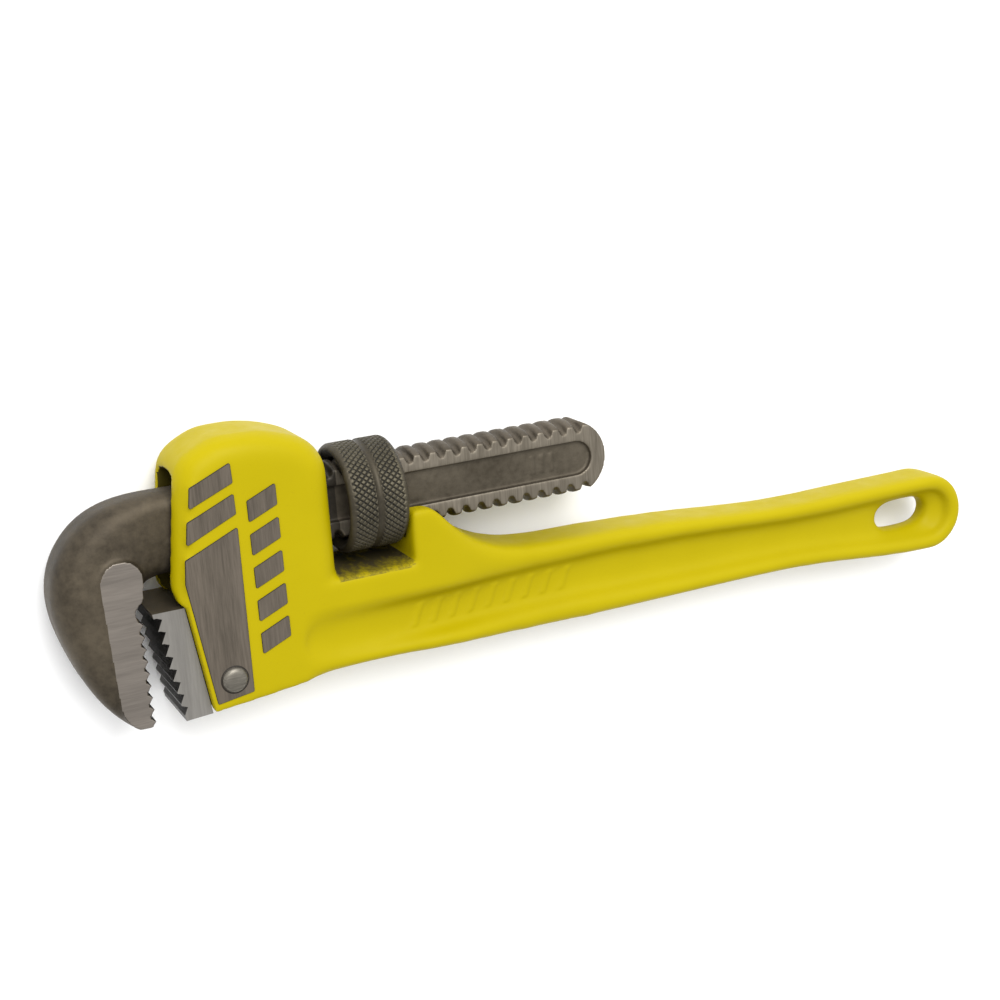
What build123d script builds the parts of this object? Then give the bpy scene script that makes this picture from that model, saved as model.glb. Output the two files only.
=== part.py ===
"""Pipe wrench, 14 inch size: cast handle, two toothed jaws, knurled nut and springs.

Sketches are drawn in a working frame: X along the jaw shank towards the handle end, Y across
the handle towards the housing crown, Z across the thickness, origin on the shank axis in the
middle of the nut. Finished parts are moved so that the wrench lies on Z = 0, centred on the
origin.
"""
from build123d import *
import os

# Overall sizes
BODY_HALF = 14.2            # half thickness of the housing
NUT_R = 16.25               # knurled radius, the widest point of the wrench
HOOK_LEFT = -93.7           # back of the hook jaw
HANDLE_RIGHT = 216.5        # end of the handle
CROWN_TOP = 26.3            # top of the housing
GRIP_LOW = -55.75           # lowest point of the handle end

# Jaw shank and thread (5 threads per inch, single start, right hand)
PITCH = 5.08
SHANK_R = 11.7              # thread crest radius
SHANK_HALF = 6.2            # half thickness of the flat shank
SHANK_START, SHANK_END = -50.0, 78.6
ROOT_R = 9.9                # thread root radius
GROOVE_TOP = 3.1            # groove width at the crest
GROOVE_ROOT = 1.5           # groove width at the root
THREAD_PHASE = 18.26        # X of a groove centre on the +Y edge
THREAD_TURNS = range(-6, 11)
PANEL_HALF = 5.3            # half height of the shank pocket
PANEL_DEPTH = 1.6

# Hook jaw
JAW_HALF = 11.35            # half thickness at the ground faces
HOOK_TEETH_X = -70.9
HOOK_PITCH = 3.56
HOOK_TEETH = 9
TOOTH_DEPTH = 1.5

# Heel jaw
HEEL_TEETH = 8
HEEL_TOP_TOOTH = (-67.0, -21.1)
HEEL_LAST_TOOTH = (-62.9, -48.0)
TANG_HALF = 9.1
PIN_X, PIN_Y = -47.9, -42.5
PIN_R = 2.75
PIN_HEAD_R = 3.75
PIN_HEAD_H = 1.7
PIN_FIT = 0.03

# Housing
SLOT_HALF = 7.0             # half width of the slot for shank and neck
SLOT_TOP = 17.0
SLOT_FLOOR = -13.2
WALL_X = -13.3              # nut window, left wall
FLOOR_Y = -19.9             # nut window, floor
HUMP_X = 9.7                # nut window, right wall
HUMP_TOP = -4.3
HUMP_SLOT_FLOOR = -12.9
PAD_H = 0.35                # height of the ground pads
CROWN_ROUND = 6.5
WINDOW_ROUND = 1.5
RIB_H = 0.5                 # height of the ribs in the recess
WEB_HALF = 4.2              # half thickness of the handle web

# Hang hole
HOLE_X0, HOLE_X1 = 183.8, 205.0
HOLE_Y, HOLE_HALF = -42.0, 4.6

# Nut
NUT_LEFT, NUT_RIGHT = -9.2, 9.0
NUT_BORE = 12.05
NUT_RIDGE_R = 10.25         # inner radius of the nut thread
RIDGE_TIP = 0.85            # ridge width at its tip
RIDGE_BASE = 2.35           # ridge width at the bore

# Springs
LEAF_PIN = (-18.0, 14.4)
LEAF_PIN_R = 1.0
SPRING_PIN_LENGTH = 26.0    # from the far cheek face, blind in the near cheek
SPRING_PIN_MID = SPRING_PIN_LENGTH / 2 - BODY_HALF
LEAF_T = 0.8
LEAF_HALF = 5.0
COIL_X = -30.0
COIL_R = 3.9                # mean coil radius
COIL_WIRE = 0.75            # wire radius
COIL_LOW, COIL_HIGH = -25.4, -11.95
COIL_TURNS = 6

# Final placing
CENTRE_X = (HOOK_LEFT + HANDLE_RIGHT) / 2
CENTRE_Y = (CROWN_TOP + GRIP_LOW) / 2


def placed(shape):
    return Pos(-CENTRE_X, -CENTRE_Y, NUT_R) * shape


def plate(edges, half):
    """Closed chain of edges in XY made into a plate of the given half thickness."""
    return Pos(0, 0, -half) * extrude(make_face(edges), amount=2 * half)


def through_y(edges):
    """Closed chain of edges in XZ made into a bar running far through in Y."""
    face = Plane.XZ * make_face(edges)
    return Pos(0, 90, 0) * extrude(face, amount=180)


def polygon(points, half):
    return plate(Polyline(*points, close=True), half)


def box(x0, x1, y0, y1, z0, z1):
    return Pos((x0 + x1) / 2, (y0 + y1) / 2, (z0 + z1) / 2) * Box(x1 - x0, y1 - y0, z1 - z0)


# ---------------------------------------------------------------- handle casting
def casting_outline():
    """Side outline of housing, nut window, hump and handle."""
    crown_front = Spline(
        (-57.7, 15.0), (-54.1, 21.8), (-48.0, 25.1), (-38.5, CROWN_TOP),
        tangents=[(0.12, 1), (1, 0)],
    )
    crown_back = Spline(
        (-38.5, CROWN_TOP), (-28.5, 25.1), (-20.5, 22.3), tangents=[(1, 0), (0.906, -0.42)],
    )
    shoulder = ThreePointArc((-20.5, 22.3), (-15.25, 17.7), (WALL_X, 11.0))
    top = Spline(
        (13.6, HUMP_TOP), (19.8, -7.6), (25.5, -13.2), (33.0, -18.5), (45.0, -22.9), (62.0, -24.1),
        (110.0, -26.5), (160.0, -29.5), (178.0, -29.7), (200.0, -29.15),
        tangents=[(1, 0), (1, 0)],
    )
    end_centre = (HANDLE_RIGHT - 13.3, (-29.15 + GRIP_LOW) / 2)
    nose = ThreePointArc((203.2, -29.15), (HANDLE_RIGHT, end_centre[1]), (203.2, GRIP_LOW))
    low = Spline(
        (203.2, GRIP_LOW), (160.0, -52.4), (110.0, -51.2), (40.0, -50.2), (-10.0, -47.9),
        (-30.0, -49.1), (-54.2, -51.2),
        tangents=[(-1, 0), (-1, -0.03)],
    )
    return [
        Line((-54.2, -51.2), (-58.7, -19.4)),
        Line((-58.7, -19.4), (-60.2, -18.6)),
        Line((-60.2, -18.6), (-61.6, -14.0)),
        Line((-61.6, -14.0), (-57.7, 15.0)),
        crown_front,
        crown_back,
        shoulder,
        Line((WALL_X, 11.0), (WALL_X, FLOOR_Y)),
        Line((WALL_X, FLOOR_Y), (HUMP_X, FLOOR_Y)),
        Line((HUMP_X, FLOOR_Y), (HUMP_X, HUMP_TOP)),
        Line((HUMP_X, HUMP_TOP), (13.6, HUMP_TOP)),
        top,
        Line((200.0, -29.15), (203.2, -29.15)),
        nose,
        low,
    ]


def plan_outline():
    """Thickness seen from above: wide housing, slimmer handle."""
    half = [(16.0, BODY_HALF), (32.0, 12.2), (50.0, 10.3), (90.0, 9.6), (165.0, 9.0), (217.0, 9.2)]
    far = [(x, -z) for x, z in half]
    return through_y([
        Line((-70.0, BODY_HALF), half[0]),
        Spline(*half, tangents=[(1, 0), (1, 0)]),
        Line(half[-1], far[-1]),
        Spline(*far, tangents=[(1, 0), (1, 0)]),
        Line(far[0], (-70.0, -BODY_HALF)),
        Line((-70.0, -BODY_HALF), (-70.0, BODY_HALF)),
    ])


def soften_housing(body):
    """Round the long edges of the crown with the front, and of the nut window."""
    def rim(x0, x1, y0, y1):
        found = []
        for edge in body.edges():
            middle = edge @ 0.5
            inside = x0 < middle.X < x1 and y0 < middle.Y < y1
            if inside and abs(middle.Z) > BODY_HALF - 0.01:
                found.append(edge)
        return found

    body = fillet(rim(-60.0, -13.4, 15.0, 27.0), CROWN_ROUND)
    body = fillet(rim(-13.6, 9.9, -20.0, HUMP_TOP - 0.1), WINDOW_ROUND)
    return body


def recess_floor(lift):
    """Floor line of the recess in the XZ plane, raised by the given amount."""
    points = [(-26.0, 12.4), (0.0, 10.2), (35.0, 6.2), (70.0, 4.7), (215.0, WEB_HALF)]
    return Spline(*[(x, z + lift) for x, z in points], tangents=[(1, -0.06), (1, 0)])


def web_recess():
    """Long shallow recess of one side, its floor sloping in from the housing."""
    left = (-19.5, -37.0)
    outline = [
        Line((-19.5, -31.0), (40.0, -31.4)),
        Spline((40.0, -31.4), (110.0, -32.3), (160.0, -35.0), (185.0, -34.6), (203.0, -34.4),
               tangents=[(1, 0), (1, 0)]),
        ThreePointArc((203.0, -34.4), (211.0, -42.4), (203.0, -50.4)),
        Spline((203.0, -50.4), (185.0, -49.4), (160.0, -46.8), (110.0, -45.2), (40.0, -43.6),
               tangents=[(-1, 0), (-1, 0)]),
        Line((40.0, -43.6), (-19.5, -43.0)),
        ThreePointArc((-19.5, -43.0), (-25.5, left[1]), (-19.5, -31.0)),
    ]
    prism = extrude(make_face(outline), amount=BODY_HALF + 1)
    above = [
        recess_floor(0.0),
        Line((215.0, WEB_HALF), (215.0, 20.0)),
        Line((215.0, 20.0), (-26.0, 20.0)),
        Line((-26.0, 20.0), (-26.0, 12.4)),
    ]
    return prism & through_y(above)


def slot_space():
    """Room between the cheeks for the shank, the neck and the heel tang."""
    mouth = [
        Line((-70.0, -19.55), (-49.0, -19.55)),
        Line((-49.0, -19.55), (-49.0, SLOT_FLOOR)),
        Line((-49.0, SLOT_FLOOR), (-33.0, SLOT_FLOOR)),
        Line((-33.0, SLOT_FLOOR), (-33.0, SLOT_TOP - 1.0)),
        Line((-33.0, SLOT_TOP - 1.0), (-70.0, SLOT_TOP - 1.0)),
        Line((-70.0, SLOT_TOP - 1.0), (-70.0, -19.55)),
    ]
    front = plate(mouth, SLOT_HALF) + slot_arch()
    rear = box(-40.0, WALL_X + 1, SLOT_FLOOR, SLOT_TOP, -SLOT_HALF, SLOT_HALF)
    tang = polygon(heel_tang_points(0.15, 3.0), TANG_HALF + 0.15)
    coil = Pos(COIL_X, (SLOT_FLOOR - 26.0) / 2, 0) * Rot(90, 0, 0)
    coil = coil * Cylinder(COIL_R + COIL_WIRE + 0.5, 26.0 + SLOT_FLOOR + 0.4)
    return front + rear + tang + coil


def slot_arch():
    """Low arched ceiling over the front slot."""
    rise = 1.2
    base = SLOT_TOP - 1.0
    radius = (SLOT_HALF ** 2 + rise ** 2) / (2 * rise)
    roof = Pos(-51.5, base + rise - radius, 0) * Rot(0, 90, 0) * Cylinder(radius, 37.0)
    return roof & box(-70.0, -33.0, base - 0.2, SLOT_TOP + 3, -SLOT_HALF, SLOT_HALF)


def heel_tang_points(grow, below):
    """Outline of the tang, grown on its upper sides and reaching further down by the given amount."""
    return [
        (-59.5, -19.7 + grow), (-44.5 + grow, -20.8 + grow), (-41.0 + grow, -48.2),
        (-41.0 + grow, -49.4 - below), (-55.0, -50.6 - below),
    ]


def ground_pad(points):
    """Ground pad standing proud of the near cheek face."""
    sunk = 0.5
    pad = extrude(make_face(Polyline(*points, close=True)), amount=PAD_H + sunk)
    pad = fillet(pad.edges().filter_by(Axis.Z), 0.5)
    return Pos(0, 0, BODY_HALF - sunk) * pad


def ground_pads():
    pads = [
        ground_pad([(-54.5, 14.4), (-42.4, 19.7), (-42.2, 13.9), (-55.3, 8.4)]),
        ground_pad([(-56.2, 4.9), (-42.3, 10.9), (-42.2, 5.0), (-57.1, -1.7)]),
        ground_pad([(-57.9, -5.6), (-42.2, 1.3), (-42.6, -47.3), (-53.4, -48.9), (-58.6, -12.4)]),
    ]
    for k in range(5):
        y = 10.2 - 9.7 * k
        pads.append(ground_pad([(-38.9, y - 2.2), (-30.2, y + 1.6), (-30.2, y - 4.6), (-38.9, y - 8.4)]))
    return pads


def recess_ribs():
    """Row of low slanted ribs cast on the floor of the near recess."""
    layer = through_y([
        recess_floor(-RIB_H / 2),
        Line((215.0, WEB_HALF - RIB_H / 2), (215.0, WEB_HALF + RIB_H)),
        recess_floor(RIB_H),
        Line((-26.0, 12.4 + RIB_H), (-26.0, 12.4 - RIB_H / 2)),
    ])
    ribs = []
    for k in range(9):
        x = 8.0 + 6.4 * k
        bar = [(x, -40.6), (x + 2.4, -40.6), (x + 5.4, -33.8), (x + 3.0, -33.8)]
        ribs.append(polygon(bar, BODY_HALF) & layer)
    return ribs


def make_handle():
    body = soften_housing(plate(casting_outline(), BODY_HALF) & plan_outline())
    for pad in ground_pads():
        body = body + pad
    recess = web_recess()
    body = body - recess - mirror(recess, about=Plane.XY)
    for rib in recess_ribs():
        body = body + rib
    body = body - slot_space()
    body = body - box(HUMP_X - 1, 40, HUMP_SLOT_FLOOR, 5, -SLOT_HALF, SLOT_HALF)
    hole = SlotOverall(HOLE_X1 - HOLE_X0, 2 * HOLE_HALF)
    body = body - Pos((HOLE_X0 + HOLE_X1) / 2, HOLE_Y, -20) * extrude(hole, amount=40)
    body = body - Pos(PIN_X, PIN_Y, 0) * Cylinder(PIN_R, 60)
    body = body - Pos(LEAF_PIN[0], LEAF_PIN[1], SPRING_PIN_MID) * Cylinder(LEAF_PIN_R, SPRING_PIN_LENGTH)
    return body


# ---------------------------------------------------------------- hook jaw
# Stations along the forging from the neck to the tip: outer and inner point, half thickness, rounding
FORGING = [
    ((-46.0, 12.0), (-46.0, -11.4), 6.5, 4.6),
    ((-53.0, 12.0), (-53.0, -11.4), 6.5, 4.6),
    ((-60.0, 12.0), (-59.5, -11.4), 6.6, 4.8),
    ((-67.6, 11.8), (-64.4, -11.7), 7.6, 5.4),
    ((-76.7, 10.0), (-67.4, -12.6), 9.2, 6.6),
    ((-86.4, 3.9), (-69.4, -15.0), 10.3, 7.6),
    ((HOOK_LEFT + 0.4, -9.5), (-70.5, -19.0), 10.7, 7.8),
    ((-92.1, -24.5), (-70.6, -27.0), 10.7, 7.6),
    ((-87.5, -37.4), (-70.6, -37.8), 10.7, 6.0),
    ((-81.2, -47.6), (-70.6, -46.8), 10.7, 4.0),
    ((-76.4, -52.2), (-70.8, -51.0), 10.4, 2.2),
]


def forging_section(outer, inner, half, rounding):
    """Rounded rectangle standing across the forging between an outer and an inner point."""
    outer, inner = Vector(*outer, 0), Vector(*inner, 0)
    across = outer - inner
    plane = Plane(origin=(outer + inner) * 0.5, x_dir=across, z_dir=across.cross(Vector(0, 0, 1)))
    return plane * RectangleRounded(across.length, 2 * half, rounding)


def hook_pad_outline():
    """Ground flat on the side of the hook: round top, straight sides, blunt tip."""
    return [
        ThreePointArc((-81.2, -9.6), (-75.3, -3.2), (-69.1, -9.6)),
        Line((-69.1, -9.6), (-69.9, -15.0)),
        Line((-69.9, -15.0), (-70.6, -16.2)),
        Line((-70.6, -16.2), (-70.6, -50.9)),
        Line((-70.6, -50.9), (-72.0, -52.5)),
        Line((-72.0, -52.5), (-75.3, -52.3)),
        ThreePointArc((-75.3, -52.3), (-78.4, -49.2), (-79.8, -44.5)),
        Line((-79.8, -44.5), (-81.2, -9.6)),
    ]


def throat_notch():
    """Relief between the throat and the first tooth."""
    return polygon([
        (-69.0, -15.2), (-71.0, -16.3), (-72.5, -18.1), (-72.5, -19.6), (-70.6, -22.1), (-62.0, -22.1),
        (-62.0, -15.2),
    ], 15)


def saw_teeth(start, step, count, side, depth):
    """Row of saw-tooth gullets along the biting face, as a cutter open towards that face."""
    gullets = []
    for k in range(count):
        x = start[0] + step[0] * k
        y = start[1] + step[1] * k
        gullets.append(gullet(x, y, abs(step[1]), side, depth))
    return gullets


def gullet(x, y, pitch, side, depth):
    """One tooth space; side is -1 when material lies to the left, 1 when it lies to the right."""
    if side < 0:
        points = [(x, y), (x - depth, y + 1.1), (x, y + pitch), (x + 1.5, y + pitch), (x + 1.5, y)]
    else:
        points = [(x, y), (x + depth, y - 0.6), (x, y - pitch), (x - 1.5, y - pitch), (x - 1.5, y)]
    return polygon(points, 15)


def shank():
    """Flat shank with rounded narrow edges, a rounded end and a shallow pocket each side."""
    length = SHANK_END - SHANK_START
    rod = Pos(SHANK_START + length / 2, 0, 0) * Rot(0, 90, 0) * Cylinder(SHANK_R, length)
    slab = box(SHANK_START, SHANK_END, -13, 13, -SHANK_HALF, SHANK_HALF)
    side = plate([
        Line((SHANK_START, -13.0), (SHANK_END - SHANK_R, -SHANK_R)),
        ThreePointArc((SHANK_END - SHANK_R, -SHANK_R), (SHANK_END, 0), (SHANK_END - SHANK_R, SHANK_R)),
        Line((SHANK_END - SHANK_R, SHANK_R), (SHANK_START, 13.0)),
        Line((SHANK_START, 13.0), (SHANK_START, -13.0)),
    ], 20)
    return rod & slab & side


def shank_pockets():
    length = 119.0
    end = 73.6
    pocket = extrude(SlotOverall(length, 2 * PANEL_HALF), amount=5)
    x = end - length / 2
    near = Pos(x, 0, SHANK_HALF - PANEL_DEPTH) * pocket
    far = Pos(x, 0, -(SHANK_HALF - PANEL_DEPTH)) * mirror(pocket, about=Plane.XY)
    return [near, far]


def pocket_ticks():
    """Three low raised strokes on the floor of the near pocket."""
    floor = SHANK_HALF - PANEL_DEPTH
    ticks = []
    for k in range(3):
        x = 53.5 + 3.2 * k
        ticks.append(box(x, x + 1.1, -2.6, 2.6, floor - 0.2, floor + 0.3))
    return ticks


def thread_groove():
    """Short helical groove over the +Y edge of the shank, centred on the YZ plane at X = 0."""
    span = 88.0
    start = Plane(origin=(0, 0, 0), x_dir=(0, 1, 0), z_dir=(1, 0, 0))
    path = Helix(pitch=PITCH, height=PITCH * span / 360, radius=SHANK_R)
    path = Pos(0, 0, -PITCH * span / 720) * Rot(0, 0, -span / 2) * path
    path = start * path
    out = 1.2
    flank = (GROOVE_TOP - GROOVE_ROOT) / 2 / (SHANK_R - ROOT_R)
    wide = GROOVE_TOP / 2 + flank * out
    section_plane = Plane(origin=path @ 0, x_dir=(path @ 0) - Vector((path @ 0).X, 0, 0), z_dir=path % 0)
    section = section_plane * make_face(Polyline(
        (ROOT_R - SHANK_R, -GROOVE_ROOT / 2), (out, -wide), (out, wide),
        (ROOT_R - SHANK_R, GROOVE_ROOT / 2), close=True))
    return sweep(section, path=path, is_frenet=True)


def make_hook():
    body = loft([forging_section(*station) for station in FORGING])
    body = body + plate(hook_pad_outline(), JAW_HALF) + shank()
    for cut in saw_teeth((HOOK_TEETH_X + 0.3, -50.6), (0.0, HOOK_PITCH), HOOK_TEETH, -1, TOOTH_DEPTH):
        body = body - cut
    body = body - throat_notch()
    for pocket in shank_pockets():
        body = body - pocket
    for tick in pocket_ticks():
        body = body + tick
    groove = thread_groove()
    for k in THREAD_TURNS:
        body = body - Pos(THREAD_PHASE + PITCH * k, 0, 0) * groove
        body = body - Pos(THREAD_PHASE + PITCH * (k + 0.5), 0, 0) * Rot(180, 0, 0) * groove
    return body


# ---------------------------------------------------------------- heel jaw
def make_heel():
    block = polygon(
        [(-68.1, -19.75), (-58.95, -19.75), (-54.35, -52.2), (-62.2, -52.7)], JAW_HALF)
    tang = polygon(heel_tang_points(0.0, 0.0), TANG_HALF)
    body = block + tang
    step_x = (HEEL_LAST_TOOTH[0] - HEEL_TOP_TOOTH[0]) / (HEEL_TEETH - 1)
    step_y = (HEEL_LAST_TOOTH[1] - HEEL_TOP_TOOTH[1]) / (HEEL_TEETH - 1)
    for cut in saw_teeth(HEEL_TOP_TOOTH, (step_x, step_y), HEEL_TEETH, 1, TOOTH_DEPTH):
        body = body - cut
    body = body - Pos(PIN_X, PIN_Y, 0) * Cylinder(PIN_R + PIN_FIT, 40)
    return body


def make_heel_pin():
    """Rivet through both cheeks and the heel tang, domed heads outside."""
    grip = BODY_HALF + PAD_H
    dome = (PIN_HEAD_R ** 2 + PIN_HEAD_H ** 2) / (2 * PIN_HEAD_H)
    head = Pos(0, 0, grip + PIN_HEAD_H - dome) * Sphere(dome) & box(-9, 9, -9, 9, grip, grip + 5)
    back = Pos(0, 0, -BODY_HALF - PIN_HEAD_H + dome) * Sphere(dome)
    back = back & box(-9, 9, -9, 9, -BODY_HALF - 5, -BODY_HALF)
    shaft = Pos(0, 0, (grip - BODY_HALF) / 2) * Cylinder(PIN_R, grip + BODY_HALF)
    return Pos(PIN_X, PIN_Y, 0) * (shaft + head + back)


# ---------------------------------------------------------------- nut
def make_nut():
    profile = make_face(Polyline(
        (NUT_LEFT, 15.0), (-7.8, NUT_R), (-1.0, NUT_R), (-0.7, 16.0), (0.7, 16.0), (1.1, NUT_R),
        (7.7, NUT_R), (NUT_RIGHT, 15.0), (NUT_RIGHT, 13.6), (7.4, NUT_BORE), (-6.8, NUT_BORE),
        (NUT_LEFT, 14.5), close=True))
    body = revolve(profile, axis=Axis.X)
    return body + (nut_thread() & box(-8.4, 8.2, -20, 20, -20, 20))


def nut_thread():
    """Internal ridge running in the shank groove."""
    turns = 2.6
    radius = NUT_BORE
    frame = Plane(origin=(0, 0, 0), x_dir=(0, 1, 0), z_dir=(1, 0, 0))
    path = frame * (Pos(0, 0, -PITCH * turns / 2) * Rot(0, 0, -180 * turns) * Helix(
        pitch=PITCH, height=PITCH * turns, radius=radius))
    start = path @ 0
    plane = Plane(origin=start, x_dir=Vector(0, start.Y, start.Z), z_dir=path % 0)
    depth = NUT_BORE - NUT_RIDGE_R
    section = plane * make_face(Polyline(
        (-depth, -RIDGE_TIP / 2), (0.4, -RIDGE_BASE / 2 - 0.15), (0.4, RIDGE_BASE / 2 + 0.15),
        (-depth, RIDGE_TIP / 2), close=True))
    ridge = sweep(section, path=path, is_frenet=True)
    return Pos(THREAD_PHASE - round(THREAD_PHASE / PITCH) * PITCH, 0, 0) * ridge


# ---------------------------------------------------------------- springs
def make_flat_spring():
    """Leaf with a rolled eye on the cross pin, lying on the shank, tip curled up."""
    x, y = LEAF_PIN
    bottom = y - 2.0
    eye = Pos(x, y, 0) * (Cylinder(2.0, 2 * LEAF_HALF) - Cylinder(LEAF_PIN_R + 0.05, 2 * LEAF_HALF))
    low = Spline((x, bottom), (-26.0, bottom - 0.35), (-40.0, bottom - 0.2), (-52.0, bottom + 1.4),
                 tangents=[(-1, 0), (-1, 0.4)])
    high = Spline((-52.3, bottom + 1.4 + LEAF_T), (-40.0, bottom - 0.2 + LEAF_T),
                  (-26.0, bottom - 0.35 + LEAF_T), (x, bottom + LEAF_T), tangents=[(1, -0.4), (1, 0)])
    strip = plate([low, Line((-52.0, bottom + 1.4), (-52.3, bottom + 1.4 + LEAF_T)), high,
                   Line((x, bottom + LEAF_T), (x, bottom))], LEAF_HALF)
    return eye + (strip - Pos(x, y, 0) * Cylinder(LEAF_PIN_R + 0.05, 30))


def make_spring_pin():
    x, y = LEAF_PIN
    return Pos(x, y, SPRING_PIN_MID) * Cylinder(LEAF_PIN_R, SPRING_PIN_LENGTH)


def make_coil_spring():
    """Open coil standing in the blind pocket below the shank."""
    height = COIL_HIGH - COIL_LOW - 2 * COIL_WIRE
    path = Helix(pitch=height / COIL_TURNS, height=height, radius=COIL_R)
    section = Plane(origin=path @ 0, z_dir=path % 0) * Circle(COIL_WIRE)
    coil = sweep(section, path=path, is_frenet=True)
    return Pos(COIL_X, COIL_LOW + COIL_WIRE, 0) * Rot(-90, 0, 0) * coil


if __name__ == "__main__":
    os.makedirs("parts", exist_ok=True)
    parts = {
        "handle": make_handle,
        "hook_jaw": make_hook,
        "heel_jaw": make_heel,
        "heel_jaw_pin": make_heel_pin,
        "nut": make_nut,
        "flat_spring": make_flat_spring,
        "spring_pin": make_spring_pin,
        "coil_spring": make_coil_spring,
    }
    for name, make in parts.items():
        export_step(placed(make()), f"parts/{name}.step")
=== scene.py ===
"""Looks of the pipe wrench: soft yellow casting, forged hook, ground jaw faces, knurled nut."""
import math

import bmesh
import bpy
import numpy as np
from mathutils import Matrix, Vector

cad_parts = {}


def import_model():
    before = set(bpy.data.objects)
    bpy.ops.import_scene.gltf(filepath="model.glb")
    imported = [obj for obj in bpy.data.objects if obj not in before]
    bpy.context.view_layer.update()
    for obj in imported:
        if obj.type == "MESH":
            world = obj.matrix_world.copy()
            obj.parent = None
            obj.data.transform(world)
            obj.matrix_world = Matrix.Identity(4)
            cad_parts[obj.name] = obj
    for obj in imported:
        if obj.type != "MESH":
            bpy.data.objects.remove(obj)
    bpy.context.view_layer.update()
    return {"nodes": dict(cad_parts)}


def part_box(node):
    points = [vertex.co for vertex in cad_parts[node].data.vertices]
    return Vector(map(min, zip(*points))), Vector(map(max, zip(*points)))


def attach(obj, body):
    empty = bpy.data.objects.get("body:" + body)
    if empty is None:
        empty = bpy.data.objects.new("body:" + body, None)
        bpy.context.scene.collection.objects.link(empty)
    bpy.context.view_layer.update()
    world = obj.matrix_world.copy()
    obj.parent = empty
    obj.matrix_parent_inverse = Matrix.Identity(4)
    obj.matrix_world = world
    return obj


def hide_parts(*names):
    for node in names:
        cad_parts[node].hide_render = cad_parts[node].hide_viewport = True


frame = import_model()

MM = 0.001

# Working frame, as in the CAD: origin on the shank axis at the middle of the nut, in mm
NUT_LOW, NUT_HIGH = (np.array(corner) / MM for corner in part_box("nut"))
NUT_LEFT, NUT_RIGHT = -9.2, 9.0
NUT_R = (NUT_HIGH[2] - NUT_LOW[2]) / 2
ORIGIN = np.array([NUT_LOW[0] - NUT_LEFT, (NUT_LOW[1] + NUT_HIGH[1]) / 2, NUT_R])
BODY_HALF = 14.2            # half thickness of the housing
PITCH = 5.08                # thread of the shank
THREAD_PHASE = 18.26
NUT_BORE = 12.05
JAW_HALF = 11.35            # half thickness at the ground jaw faces
SLOT_HALF = 7.0             # half width of the slot in the housing
SHANK_LEFT = -50.0          # where the neck turns into the shank
SHANK_HALF = 6.2            # half thickness of the shank
POCKET_FLOOR = 4.6          # half thickness of the web between its pockets
WALL_X, HUMP_X, FLOOR_Y = -13.3, 9.7, -19.9  # nut window


def world(points):
    """Working frame in mm to the row frame in metres."""
    return (np.asarray(points, float) + ORIGIN) * MM


def local(points):
    return np.asarray(points, float) / MM - ORIGIN


# ------------------------------------------------------------------ mesh helpers
def read_mesh(mesh):
    points = np.zeros(len(mesh.vertices) * 3, np.float32)
    mesh.vertices.foreach_get("co", points)
    return points.reshape(-1, 3).astype(float)


def write_mesh(mesh, points):
    mesh.vertices.foreach_set("co", np.asarray(points, np.float32).ravel())
    mesh.update()


def read_normals(mesh):
    normals = np.zeros(len(mesh.vertices) * 3, np.float32)
    mesh.vertices.foreach_get("normal", normals)
    return normals.reshape(-1, 3).astype(float)


def new_piece(name, mesh, body):
    piece = bpy.data.objects.new(name, mesh)
    bpy.context.scene.collection.objects.link(piece)
    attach(piece, body)
    return piece


def shade_smooth(mesh):
    mesh.polygons.foreach_set("use_smooth", np.ones(len(mesh.polygons), bool))
    mesh.update()


def voxel_copy(node, name, voxel):
    """Even quad mesh over a CAD node, ready to be softened."""
    mesh = frame["nodes"][node].data.copy()
    mesh.name = name
    holder = bpy.data.objects.new(name + "_work", mesh)
    bpy.context.scene.collection.objects.link(holder)
    remesh = holder.modifiers.new("even", "REMESH")
    remesh.mode = "VOXEL"
    remesh.voxel_size = voxel * MM
    remesh.adaptivity = 0.0
    depsgraph = bpy.context.evaluated_depsgraph_get()
    result = bpy.data.meshes.new_from_object(holder.evaluated_get(depsgraph))
    bpy.data.objects.remove(holder)
    result.name = name
    result.materials.clear()
    return result


def soften(mesh, weights, passes):
    """Laplacian smoothing with a weight for each vertex."""
    edges = np.zeros(len(mesh.edges) * 2, np.int32)
    mesh.edges.foreach_get("vertices", edges)
    a, b = edges.reshape(-1, 2).T
    points = read_mesh(mesh)
    count = np.bincount(a, minlength=len(points)) + np.bincount(b, minlength=len(points))
    step = (0.5 * weights / np.maximum(count, 1))[:, None]
    for _ in range(passes):
        pull = np.stack([
            np.bincount(a, points[b, k] - points[a, k], len(points))
            + np.bincount(b, points[a, k] - points[b, k], len(points))
            for k in range(3)
        ], 1)
        points = points + step * pull
    write_mesh(mesh, points)


def ramp(value, low, high):
    t = np.clip((value - low) / (high - low), 0, 1)
    return t * t * (3 - 2 * t)


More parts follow.
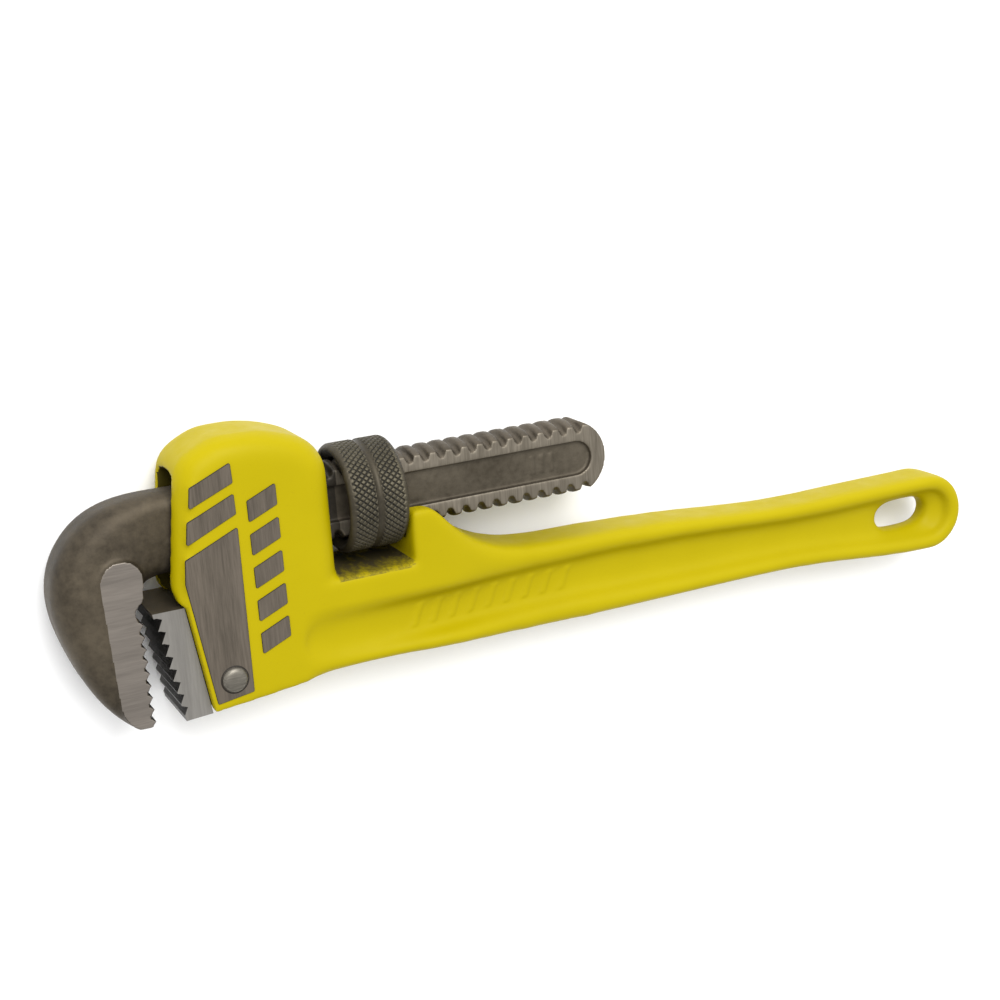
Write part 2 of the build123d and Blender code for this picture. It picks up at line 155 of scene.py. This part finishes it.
# ------------------------------------------------------------------ material helpers
class Shader:
    """Small builder for a node material."""

    def __init__(self, name):
        self.material = bpy.data.materials.new(name)
        self.material.use_nodes = True
        self.tree = self.material.node_tree
        self.bsdf = self.tree.nodes["Principled BSDF"]
        self.place = self.add("ShaderNodeTexCoord").outputs["Object"]

    def add(self, kind, **settings):
        node = self.tree.nodes.new(kind)
        for key, value in settings.items():
            setattr(node, key, value)
        return node

    def link(self, source, target):
        self.tree.links.new(source, target)

    def noise(self, scale, detail=4.0, roughness=0.6, stretch=(1, 1, 1), turn=0.0):
        mapping = self.add("ShaderNodeMapping")
        mapping.inputs["Scale"].default_value = stretch
        mapping.inputs["Rotation"].default_value = (0, 0, turn)
        self.link(self.place, mapping.inputs["Vector"])
        node = self.add("ShaderNodeTexNoise")
        node.inputs["Scale"].default_value = scale
        node.inputs["Detail"].default_value = detail
        node.inputs["Roughness"].default_value = roughness
        self.link(mapping.outputs["Vector"], node.inputs["Vector"])
        return node.outputs["Fac"]

    def remap(self, value, low, high, to_low, to_high):
        node = self.add("ShaderNodeMapRange")
        for key, number in zip(("From Min", "From Max", "To Min", "To Max"), (low, high, to_low, to_high)):
            node.inputs[key].default_value = number
        self.link(value, node.inputs["Value"])
        return node.outputs["Result"]

    def blend(self, factor, first, second):
        node = self.add("ShaderNodeMix", data_type="RGBA")
        self.link(factor, node.inputs[0])
        for socket, colour in ((node.inputs[6], first), (node.inputs[7], second)):
            if isinstance(colour, tuple):
                socket.default_value = (*colour, 1.0)
            else:
                self.link(colour, socket)
        return node.outputs[2]

    def math(self, operation, first, second=0.0):
        node = self.add("ShaderNodeMath", operation=operation)
        for socket, value in zip(node.inputs, (first, second)):
            if isinstance(value, (int, float)):
                socket.default_value = value
            else:
                self.link(value, socket)
        return node.outputs[0]

    def bump(self, height, distance, strength=1.0, under=None):
        node = self.add("ShaderNodeBump")
        node.inputs["Strength"].default_value = strength
        node.inputs["Distance"].default_value = distance
        self.link(height, node.inputs["Height"])
        if under is not None:
            self.link(under, node.inputs["Normal"])
        return node.outputs["Normal"]

    def finish(self, colour=None, roughness=None, normal=None, **constants):
        for key, value in constants.items():
            self.bsdf.inputs[key.replace("_", " ")].default_value = value
        for key, source in (("Base Color", colour), ("Roughness", roughness), ("Normal", normal)):
            if source is not None:
                self.link(source, self.bsdf.inputs[key])
        return self.material


def yellow_paint(name, low, high, grime_and_shade, gloss=0.18):
    """Thick enamel over a sand casting."""
    s = Shader(name)
    cloud = s.noise(22.0, 3.0)
    grain = s.noise(900.0, 6.0, 0.7)
    waves = s.noise(160.0, 3.0, 0.5)
    colour = s.blend(s.remap(cloud, 0.3, 0.7, 0.0, 1.0), low, high)
    # speckles of a darker colour: grime on the clean enamel, part of the painted shade on the slot paint
    colour = s.blend(s.remap(grain, 0.60, 0.80, 0.0, 0.5), colour, grime_and_shade)
    rough = s.remap(waves, 0.3, 0.7, 0.40, 0.55)
    normal = s.bump(waves, 0.00012, 0.5, s.bump(grain, 0.00003, 0.45))
    return s.finish(colour, rough, normal, Specular_IOR_Level=gloss)


def depth_shade_paint(name, clean, grime_and_shade, start, end):
    """Enamel under a painted shade, darkest from the depth start inside the nut window and fading out to
    the open edge at end (row frame, m).
    """
    s = Shader(name)
    split = s.add("ShaderNodeSeparateXYZ")
    s.link(s.place, split.inputs[0])
    depth = s.math("ABSOLUTE", s.math("SUBTRACT", split.outputs["Z"], ORIGIN[2] * MM))
    # painted shade: the shade colour near the middle of the thickness, clean enamel towards the open faces
    clear = s.remap(depth, start, end, 0.0, 1.0)
    edge_wobble = s.remap(s.noise(260.0, 6.0, 0.7, (1, 1, 0.5)), 0.32, 0.68, -0.5, 0.5)
    grain = s.noise(1100.0, 5.0, 0.7)
    speck = s.remap(grain, 0.35, 0.65, 0.55, 1.25)
    speckled_shade = s.blend(s.remap(grain, 0.3, 0.7, 0.0, 1.0), grime_and_shade, tuple(2.2 * c for c in grime_and_shade))
    colour = s.blend(s.math("MULTIPLY", s.math("ADD", clear, edge_wobble), speck), speckled_shade, clean)
    rough = s.remap(grain, 0.3, 0.7, 0.5, 0.75)
    return s.finish(colour, rough, s.bump(grain, 0.00012, 0.6), Specular_IOR_Level=0.1)


def forged_steel(name, low, high, rough=(0.48, 0.66), metallic=0.75):
    """Oiled, oxidised forging with a fine scale."""
    s = Shader(name)
    cloud = s.noise(38.0, 5.0, 0.65)
    scale = s.noise(420.0, 7.0, 0.72)
    pits = s.noise(1500.0, 4.0, 0.6)
    mix = s.math("ADD", s.math("MULTIPLY", cloud, 0.6), s.math("MULTIPLY", scale, 0.4))
    colour = s.blend(s.remap(mix, 0.38, 0.62, 0.0, 1.0), low, high)
    roughness = s.remap(scale, 0.3, 0.7, *rough)
    normal = s.bump(scale, 0.00010, 0.7, s.bump(pits, 0.00004, 0.6))
    return s.finish(colour, roughness, normal, Metallic=metallic)


def ground_steel(name, low, high, along, turn=0.0, rough=(0.34, 0.5), metallic=0.9):
    """Bare steel with fine parallel grinding lines running along one axis."""
    s = Shader(name)
    across = {"x": (0.06, 1.0, 1.0), "y": (1.0, 0.06, 1.0)}[along]
    lines = s.noise(1900.0, 3.0, 0.6, across, turn)
    bands = s.noise(300.0, 3.0, 0.6, across, turn)
    cloud = s.noise(60.0, 3.0)
    mix = s.math("ADD", s.math("MULTIPLY", lines, 0.5), s.math("MULTIPLY", bands, 0.35))
    mix = s.math("ADD", mix, s.math("MULTIPLY", cloud, 0.15))
    colour = s.blend(s.remap(mix, 0.38, 0.62, 0.0, 1.0), low, high)
    roughness = s.remap(bands, 0.3, 0.7, *rough)
    return s.finish(colour, roughness, s.bump(lines, 0.00003, 0.7), Metallic=metallic)


PAINT = yellow_paint("yellow_paint", (0.322, 0.258, 0.0), (0.348, 0.28, 0.0005), (0.27, 0.20, 0.002), 0.08)
# painted shade: near-black yellow enamel for the walls, roof, bottom and notch inside the slot, where shade
# falls
SHADED_PAINT = yellow_paint(
    "slot_shade_paint", (0.030, 0.024, 0.004), (0.060, 0.048, 0.006), (0.014, 0.011, 0.004), 0.05)
# painted shade on the floor of the nut window under the nut, darkest deep inside, clean at the open edges
WINDOW_FLOOR = depth_shade_paint("window_floor", (0.30, 0.24, 0.002), (0.030, 0.024, 0.010), 0.005, 0.0155)
FORGED = forged_steel("forged_steel", (0.030, 0.0235, 0.0155), (0.088, 0.071, 0.048))
HEEL_TOP = forged_steel("heel_top", (0.085, 0.069, 0.045), (0.16, 0.132, 0.092))
THREAD = forged_steel("thread_steel", (0.06, 0.05, 0.036), (0.12, 0.10, 0.075), (0.40, 0.58), 0.8)
POCKET = forged_steel("pocket_steel", (0.046, 0.037, 0.024), (0.108, 0.091, 0.066), (0.5, 0.7), 0.7)
# painted shade: near-black steel for the shank inside the housing, left of the nut; it moves with the jaw
SHADED_SHANK = forged_steel("shaded_shank_steel", (0.012, 0.0095, 0.006), (0.040, 0.033, 0.023), (0.4, 0.6), 0.6)
SHANK_FACE = ground_steel(
    "shank_face", (0.115, 0.099, 0.075), (0.205, 0.18, 0.142), "y", 0.0, (0.4, 0.58), 0.8)
BLUED = forged_steel("blued_teeth", (0.014, 0.013, 0.011), (0.048, 0.043, 0.037), (0.36, 0.52), 0.75)
NUT_STEEL = forged_steel("nut_steel", (0.036, 0.031, 0.019), (0.090, 0.079, 0.053), (0.36, 0.54), 0.75)
NUT_RING = forged_steel("nut_ring", (0.026, 0.0215, 0.0135), (0.062, 0.052, 0.034), (0.42, 0.6), 0.7)
# painted shade: near-black steel for the grooves of the knurl, between the diamonds
NUT_GROOVE_SHADE = forged_steel("knurl_groove_shade", (0.003, 0.0024, 0.0014), (0.010, 0.0082, 0.005), (0.6, 0.8), 0.2)
JAW_FACE = ground_steel("ground_jaw", (0.166, 0.147, 0.128), (0.214, 0.190, 0.165), "x", 0.08)
PAD_FACE = ground_steel("ground_pad", (0.102, 0.086, 0.068), (0.158, 0.133, 0.106), "y")
# partly painted shade: near-black steel for the pad sides, a painted shadow line round each pad with grime
# at the joint, and for the rivet's painted shadow ring
PAD_EDGE_SHADE = forged_steel("pad_edge_shade", (0.008, 0.005, 0.002), (0.025, 0.018, 0.01), (0.6, 0.8), 0.1)
HEEL_FACE = ground_steel("heel_face", (0.205, 0.195, 0.178), (0.252, 0.241, 0.221), "y", 0.0, (0.44, 0.56))
RIVET = ground_steel("rivet_steel", (0.105, 0.097, 0.080), (0.21, 0.193, 0.162), "x", 0.5, (0.32, 0.5))
SPRING = forged_steel("spring_steel", (0.12, 0.12, 0.12), (0.26, 0.26, 0.25), (0.25, 0.4), 0.95)


def paint_faces(mesh, base, choose):
    """Give each face the base material, then each layer (mask, material) that choose returns, in turn.

    choose gets the centre of each face in the working frame, and its normal.
    """
    count = len(mesh.polygons)
    centres = np.zeros(count * 3, np.float32)
    normals = np.zeros(count * 3, np.float32)
    mesh.polygons.foreach_get("center", centres)
    mesh.polygons.foreach_get("normal", normals)
    layers = choose(local(centres.reshape(-1, 3)), normals.reshape(-1, 3))
    mesh.materials.clear()
    mesh.materials.append(base)
    index = np.zeros(count, np.int32)
    for number, (mask, material) in enumerate(layers, start=1):
        mesh.materials.append(material)
        index[mask] = number
    mesh.polygons.foreach_set("material_index", index)
    mesh.update()


# ------------------------------------------------------------------ casting
CASTING_VOXEL = 0.7


def casting_softness(points):
    """How far the sand casting is rounded: soft on the handle, tighter at housing and window."""
    x, y, z = points.T
    weight = 0.10 + 0.90 * ramp(x, 14, 34) - 0.35 * ramp(x, 196, 206)
    weight = np.maximum(weight, ramp(-y, 27, 31) * ramp(x, -28, -20) * (x < 30))
    crown = ramp(y, 13, 18) * (np.abs(z) > 9.0)
    beside_heel = ramp(-x, 47, 51) * ramp(-y, 15, 19)
    return np.maximum(weight, 0.4 * crown) * (1 - 0.7 * beside_heel)


def choose_casting(centres, normals):
    """Painted shade: near-black paint inside the slot, a fading painted shade on the floor of the nut
    window, clean enamel elsewhere.
    """
    x, y, z = centres.T
    sideways, upwards = np.abs(normals[:, 2]), normals[:, 1]
    inside = (x > -62) & (x < WALL_X + 0.3)
    walls = inside & (np.abs(np.abs(z) - SLOT_HALF) < 0.5) & (sideways > 0.6) & (y > -19.8) & (y < 18)
    roof = inside & (np.abs(z) < SLOT_HALF + 0.2) & (upwards < -0.3) & (y > 14)
    bottom = inside & (np.abs(z) < SLOT_HALF + 0.2) & (y < -12.5) & (y > -20.2)
    window = (np.abs(y - FLOOR_Y) < 0.9) & (x > WALL_X - 0.6) & (x < HUMP_X + 0.6) & (upwards > 0.5)
    notch = (np.abs(z) < SLOT_HALF + 0.2) & (x > HUMP_X - 1) & (x < 40) & (y > -13.5) & (y < -3)
    # walls, roof, bottom and notch of the slot get the painted shade; the window floor gets its fading
    # painted shade
    return [(walls | roof | bottom | notch, SHADED_PAINT), (window, WINDOW_FLOOR)]


def make_casting():
    mesh = voxel_copy("handle", "casting", CASTING_VOXEL)
    points = local(read_mesh(mesh))
    points[:, 2] = np.minimum(points[:, 2], BODY_HALF)
    write_mesh(mesh, world(points))
    soften(mesh, casting_softness(points), 90)
    raise_ribs(mesh)
    shade_smooth(mesh)
    paint_faces(mesh, PAINT, choose_casting)
    piece = new_piece("casting", mesh, "handle_body")
    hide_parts("handle")


def raise_ribs(mesh):
    """Slanted ribs cast on the recess floor, worked again into the softened surface."""
    points = local(read_mesh(mesh))
    facing = read_normals(mesh)[:, 2] > 0.8
    x, y, z = points.T
    lean = 3.0 / 6.8
    along = x - 8.0 - (y + 40.6) * lean
    within = ramp(y, -41.0, -40.2) * (1 - ramp(y, -34.2, -33.4))
    lift = np.zeros(len(points))
    for k in range(9):
        start = 6.4 * k
        lift += ramp(along, start - 0.4, start + 0.4) * (1 - ramp(along, start + 2.0, start + 2.8))
    points[:, 2] += 0.4 * lift * within * facing * (z < 13)
    write_mesh(mesh, world(points))


PAD_SKIN = 0.6              # depth to which the pads reach into the casting


def make_pads():
    """Bare ground pads of the near cheek: the top faces of the CAD casting, given sides and a soft edge."""
    source = frame["nodes"]["handle"].data
    points = local(read_mesh(source))
    top = points[:, 2].max()
    graph = bmesh.new()
    graph.from_mesh(source)
    graph.verts.ensure_lookup_table()
    low = [v for v in graph.verts if points[v.index, 2] < top - 0.02]
    bmesh.ops.delete(graph, geom=low, context="VERTS")
    bmesh.ops.remove_doubles(graph, verts=graph.verts, dist=0.01 * MM)
    bmesh.ops.dissolve_limit(graph, angle_limit=0.02, verts=graph.verts, edges=graph.edges)
    skin = bmesh.ops.extrude_face_region(graph, geom=list(graph.faces))
    moved = [g for g in skin["geom"] if isinstance(g, bmesh.types.BMVert)]
    bmesh.ops.translate(graph, verts=moved, vec=(0, 0, -PAD_SKIN * MM))
    bmesh.ops.recalc_face_normals(graph, faces=graph.faces)
    rim = [e for e in graph.edges if all(v.co.z > world((0, 0, top - 0.1))[2] for v in e.verts)
           and any(abs(f.normal.z) < 0.5 for f in e.link_faces)]
    bmesh.ops.bevel(graph, geom=rim, offset=0.14 * MM, segments=2, affect="EDGES", profile=0.5)
    mesh = bpy.data.meshes.new("ground_pads")
    graph.to_mesh(mesh)
    graph.free()
    # pad sides near black: a painted shadow line round each pad, with grime at the joint
    paint_faces(mesh, PAD_EDGE_SHADE, lambda centres, normals: [(normals[:, 2] > 0.97, PAD_FACE)])
    return new_piece("ground_pads", mesh, "handle_body")


# ------------------------------------------------------------------ hook
HOOK_VOXEL = 0.445


def hook_softness(points):
    """Forged body soft; ground face, teeth and thread nearly crisp."""
    x, y, z = points.T
    pad = np.abs(z) > JAW_HALF - 0.3
    teeth = (x > -74.5) & (y < -14) & (x < -50)
    weight = np.where(x > SHANK_LEFT, 0.05, 1.0)
    return np.where(pad | teeth, 0.04, weight)


def choose_hook(centres, normals):
    """Thread, ground faces and pockets of the shank, painted shade on the shank inside the housing, teeth
    and ground jaw pads.
    """
    x, y, z = centres.T
    flat = np.abs(normals[:, 2])
    on_shank = x > SHANK_LEFT
    return [
        (on_shank, THREAD),
        (on_shank & (np.abs(z) > SHANK_HALF - 0.12) & (flat > 0.9), SHANK_FACE),
        (on_shank & (np.abs(z) < POCKET_FLOOR + 0.5) & (flat > 0.7), POCKET),
        ((x > -74) & (x < -68) & (y < -16) & (flat < 0.6), BLUED),
        # painted shade over the shank left of the nut, inside the housing
        (on_shank & (x < NUT_LEFT - 0.4), SHADED_SHANK),
        ((np.abs(z) > JAW_HALF - 0.1) & (flat > 0.9) & (x < -66), JAW_FACE),
    ]


def make_hook():
    mesh = voxel_copy("hook_jaw", "hook", HOOK_VOXEL)
    soften(mesh, hook_softness(local(read_mesh(mesh))), 19)
    shade_smooth(mesh)
    paint_faces(mesh, FORGED, choose_hook)
    piece = new_piece("hook", mesh, "hook")
    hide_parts("hook_jaw")


# ------------------------------------------------------------------ nut
KNURL_AROUND = 54           # diamonds round the nut
KNURL_LONG = 2.1            # diamond length along the nut
KNURL_DEPTH = 0.62
NUT_AROUND = KNURL_AROUND * 13
BAND_STEP = KNURL_LONG / 13


def nut_profile():
    """Closed profile (x, radius, kind) over the outside and back inside; kind 1 is knurled, -1 threaded."""
    band_left = np.arange(-7.5, -1.15, BAND_STEP)
    band_right = np.arange(1.2, 7.5, BAND_STEP)
    outside = [(NUT_LEFT, 14.5, 0), (-9.1, 15.0, 0), (-8.8, 15.5, 0), (-8.3, 15.95, 0), (-7.8, 16.2, 0)]
    outside += [(x, NUT_R - 0.02, 1) for x in band_left]
    outside += [(-0.95, 16.0, 0), (-0.75, 15.75, 0), (0.0, 15.7, 0), (0.75, 15.75, 0), (0.95, 16.0, 0)]
    outside += [(x, NUT_R - 0.02, 1) for x in band_right]
    outside += [(7.8, 16.1, 0), (8.4, 15.7, 0), (8.8, 15.2, 0), (NUT_RIGHT, 14.8, 0), (NUT_RIGHT, 13.7, 0)]
    bore = [(8.7, 13.3, 0), (7.4, NUT_BORE, 0)]
    bore += [(x, NUT_BORE, -1) for x in np.linspace(7.0, -6.4, 30)]
    bore += [(-6.8, NUT_BORE, 0), (-8.9, 14.2, 0)]
    return np.array(outside + bore)


def knurl(x, angle):
    """Height of a diamond knurl, 0 in its grooves and 1 on its points."""
    u = angle * KNURL_AROUND / (2 * math.pi)
    v = x / KNURL_LONG
    first = np.abs(((u + v) % 1) - 0.5) * 2
    second = np.abs(((u - v) % 1) - 0.5) * 2
    return 1 - np.maximum(first, second)


def make_nut():
    profile = nut_profile()
    angle = np.linspace(0, 2 * math.pi, NUT_AROUND, endpoint=False)
    x = np.repeat(profile[:, :1], NUT_AROUND, 1)
    radius = np.repeat(profile[:, 1:2], NUT_AROUND, 1)
    kind = np.repeat(profile[:, 2:], NUT_AROUND, 1)
    a = np.repeat(angle[None], len(profile), 0)
    height = np.clip(knurl(x, a) * 2.9, 0, 1)
    radius = radius - np.where(kind > 0, KNURL_DEPTH * (1 - height), 0)
    turn = (x - THREAD_PHASE) / PITCH - a / (2 * math.pi)
    ridge = np.abs(((turn + 0.5) % 1) - 0.5) * PITCH
    radius = radius - np.where(kind < 0, 1.7 * (1 - ramp(ridge, 0.45, 1.2)), 0)
    points = np.stack([x, radius * np.cos(a), radius * np.sin(a)], 2).reshape(-1, 3)
    mesh = bpy.data.meshes.new("knurled_nut")
    mesh.from_pydata(world(points).tolist(), [], ring_faces(len(profile), NUT_AROUND))
    shade_smooth(mesh)
    paint_faces(mesh, NUT_RING, choose_nut)
    piece = new_piece("knurled_nut", mesh, "adjusting_nut")
    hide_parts("nut")


def choose_nut(centres, normals):
    """Near-black painted shade in the grooves of the knurl, bare diamonds, duller rings and rims."""
    x, y, z = centres.T
    radius = np.hypot(y, z)
    band = ((x > -7.5) & (x < -1.1)) | ((x > 1.15) & (x < 7.6))
    groove = band & (radius > NUT_BORE + 1) & (radius < NUT_R - 0.34)
    # faces in the grooves take the painted shade
    return [(band, NUT_STEEL), (groove, NUT_GROOVE_SHADE)]


def ring_faces(rings, around, closed=True):
    """Quads between rings of points, from the last ring back to the first if closed."""
    last = rings if closed else rings - 1
    r = np.arange(last)[:, None] * around
    c = np.arange(around)[None]
    r2 = ((np.arange(last) + 1) % rings)[:, None] * around
    c2 = (c + 1) % around
    quads = np.stack([r + c, r + c2, r2 + c2, r2 + c], 2).reshape(-1, 4)
    return quads.tolist()


# ------------------------------------------------------------------ rivet
SHAFT_R = 2.75


def weld(mesh):
    graph = bmesh.new()
    graph.from_mesh(mesh)
    bmesh.ops.remove_doubles(graph, verts=graph.verts, dist=0.001 * MM)
    bmesh.ops.recalc_face_normals(graph, faces=graph.faces)
    graph.to_mesh(mesh)
    graph.free()


def make_rivet():
    """Rivet with low hammered heads, each in a ring of painted shadow: a thin near-black skirt on the pad.
    """
    low, high = (local(corner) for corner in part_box("heel_jaw_pin"))
    centre = (low + high) / 2
    half = (high[2] - low[2]) / 2
    radius = (high[0] - low[0]) / 2
    head = [(0.0, 0.35), (1.2, 0.36), (2.2, 0.42), (2.8, 0.56), (3.2, 0.82), (3.55, 1.2), (radius, 1.6)]
    # the rim past the head radius is a thin near-black skirt: a painted shadow ring around the head
    rim = [(radius, 1.68), (radius + 0.42, 1.69), (radius + 0.42, 1.76), (SHAFT_R, 1.76)]
    profile = [(r, half - down) for r, down in head + rim]
    profile += [(r, -z) for r, z in reversed(profile)]
    around = 96
    angle = np.linspace(0, 2 * math.pi, around, endpoint=False)[None]
    r = np.array([p[0] for p in profile])[:, None] * np.ones_like(angle)
    z = np.array([p[1] for p in profile])[:, None] * np.ones_like(angle)
    dent = 0.05 * np.sin(3 * angle + 0.4) * np.sin(r * 2.1) + 0.04 * np.sin(2 * angle + r * 1.3)
    z = z + np.sign(z) * dent * (r < 3.3)
    points = np.stack([centre[0] + r * np.cos(angle), centre[1] + r * np.sin(angle), centre[2] + z], 2)
    mesh = bpy.data.meshes.new("rivet")
    faces = ring_faces(len(profile), around, closed=False)
    mesh.from_pydata(world(points.reshape(-1, 3)).tolist(), [], faces)
    weld(mesh)
    shade_smooth(mesh)

    def grime_and_shade(centres, normals):
        # faces beyond the head radius take the painted shadow ring
        return [(np.hypot(*(centres - centre)[:, :2].T) > radius + 0.02, PAD_EDGE_SHADE)]

    paint_faces(mesh, RIVET, grime_and_shade)
    piece = new_piece("rivet", mesh, "handle_body")
    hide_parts("heel_jaw_pin")


# ------------------------------------------------------------------ CAD nodes kept as they are
def choose_heel(centres, normals):
    """Brown top and ground sides; the rest, with the teeth, is blued."""
    x, y, z = centres.T
    ground = (np.abs(z) > JAW_HALF - 0.05) & (np.abs(normals[:, 2]) > 0.9)
    return [(y > -20.5, HEEL_TOP), (ground, HEEL_FACE)]


def finish_cad_nodes():
    paint_faces(frame["nodes"]["heel_jaw"].data, BLUED, choose_heel)
    for node, material in (("flat_spring", SPRING), ("spring_pin", RIVET), ("coil_spring", SPRING)):
        mesh = frame["nodes"][node].data
        mesh.materials.clear()
        mesh.materials.append(material)


# ------------------------------------------------------------------ stage
def add_floor():
    bpy.ops.mesh.primitive_plane_add(size=12, location=(0, 0, 0))
    floor = bpy.context.object
    floor.name = "floor"
    s = Shader("pale_floor")
    speckle = s.noise(30.0, 3.0)
    colour = s.blend(speckle, (0.90, 0.90, 0.90), (0.92, 0.92, 0.92))
    floor.data.materials.append(s.finish(colour, Roughness=0.9, Specular_IOR_Level=0.1))


def add_light(name, place, target, size, power):
    data = bpy.data.lights.new(name, "AREA")
    data.shape = "DISK"
    data.size = size
    data.energy = power
    lamp = bpy.data.objects.new(name, data)
    bpy.context.scene.collection.objects.link(lamp)
    lamp.location = place
    direction = Vector(target) - Vector(place)
    lamp.rotation_euler = direction.to_track_quat("-Z", "Y").to_euler()


def add_studio():
    scene = bpy.context.scene
    scene.view_settings.view_transform = "Standard"
    sky = bpy.data.worlds.new("studio")
    sky.use_nodes = True
    tree = sky.node_tree
    background = tree.nodes["Background"]
    background.inputs["Color"].default_value = (1, 1, 1, 1)
    direction = tree.nodes.new("ShaderNodeTexCoord")
    split = tree.nodes.new("ShaderNodeSeparateXYZ")
    strength = tree.nodes.new("ShaderNodeMapRange")
    for key, number in (("From Min", -0.9), ("From Max", 0.9), ("To Min", 0.85), ("To Max", 1.45)):
        strength.inputs[key].default_value = number
    tree.links.new(direction.outputs["Generated"], split.inputs[0])
    tree.links.new(split.outputs["Y"], strength.inputs["Value"])
    tree.links.new(strength.outputs["Result"], background.inputs["Strength"])
    scene.world = sky
    add_light("key", (-0.1, 1.5, 1.9), (0, 0, 0), 1.6, 56)


def add_camera():
    """View from above the near side, looking down along the handle."""
    data = bpy.data.cameras.new("camera")
    data.sensor_width = 36
    data.lens = 62.41
    camera = bpy.data.objects.new("camera", data)
    bpy.context.scene.collection.objects.link(camera)
    right = Vector((0.89655, -0.06725, 0.4378)).normalized()
    back = Vector((-0.40597, 0.27052, 0.87293))
    back = (back - right * back.dot(right)).normalized()
    up = back.cross(right)
    turn = Matrix((right, up, back)).transposed().to_4x4()
    camera.matrix_world = Matrix.Translation(Vector(world((-170.03, 132.78, 461.56)))) @ turn
    bpy.context.scene.camera = camera


make_casting()
make_pads()
make_hook()
make_nut()
make_rivet()
finish_cad_nodes()
add_floor()
add_studio()
add_camera()
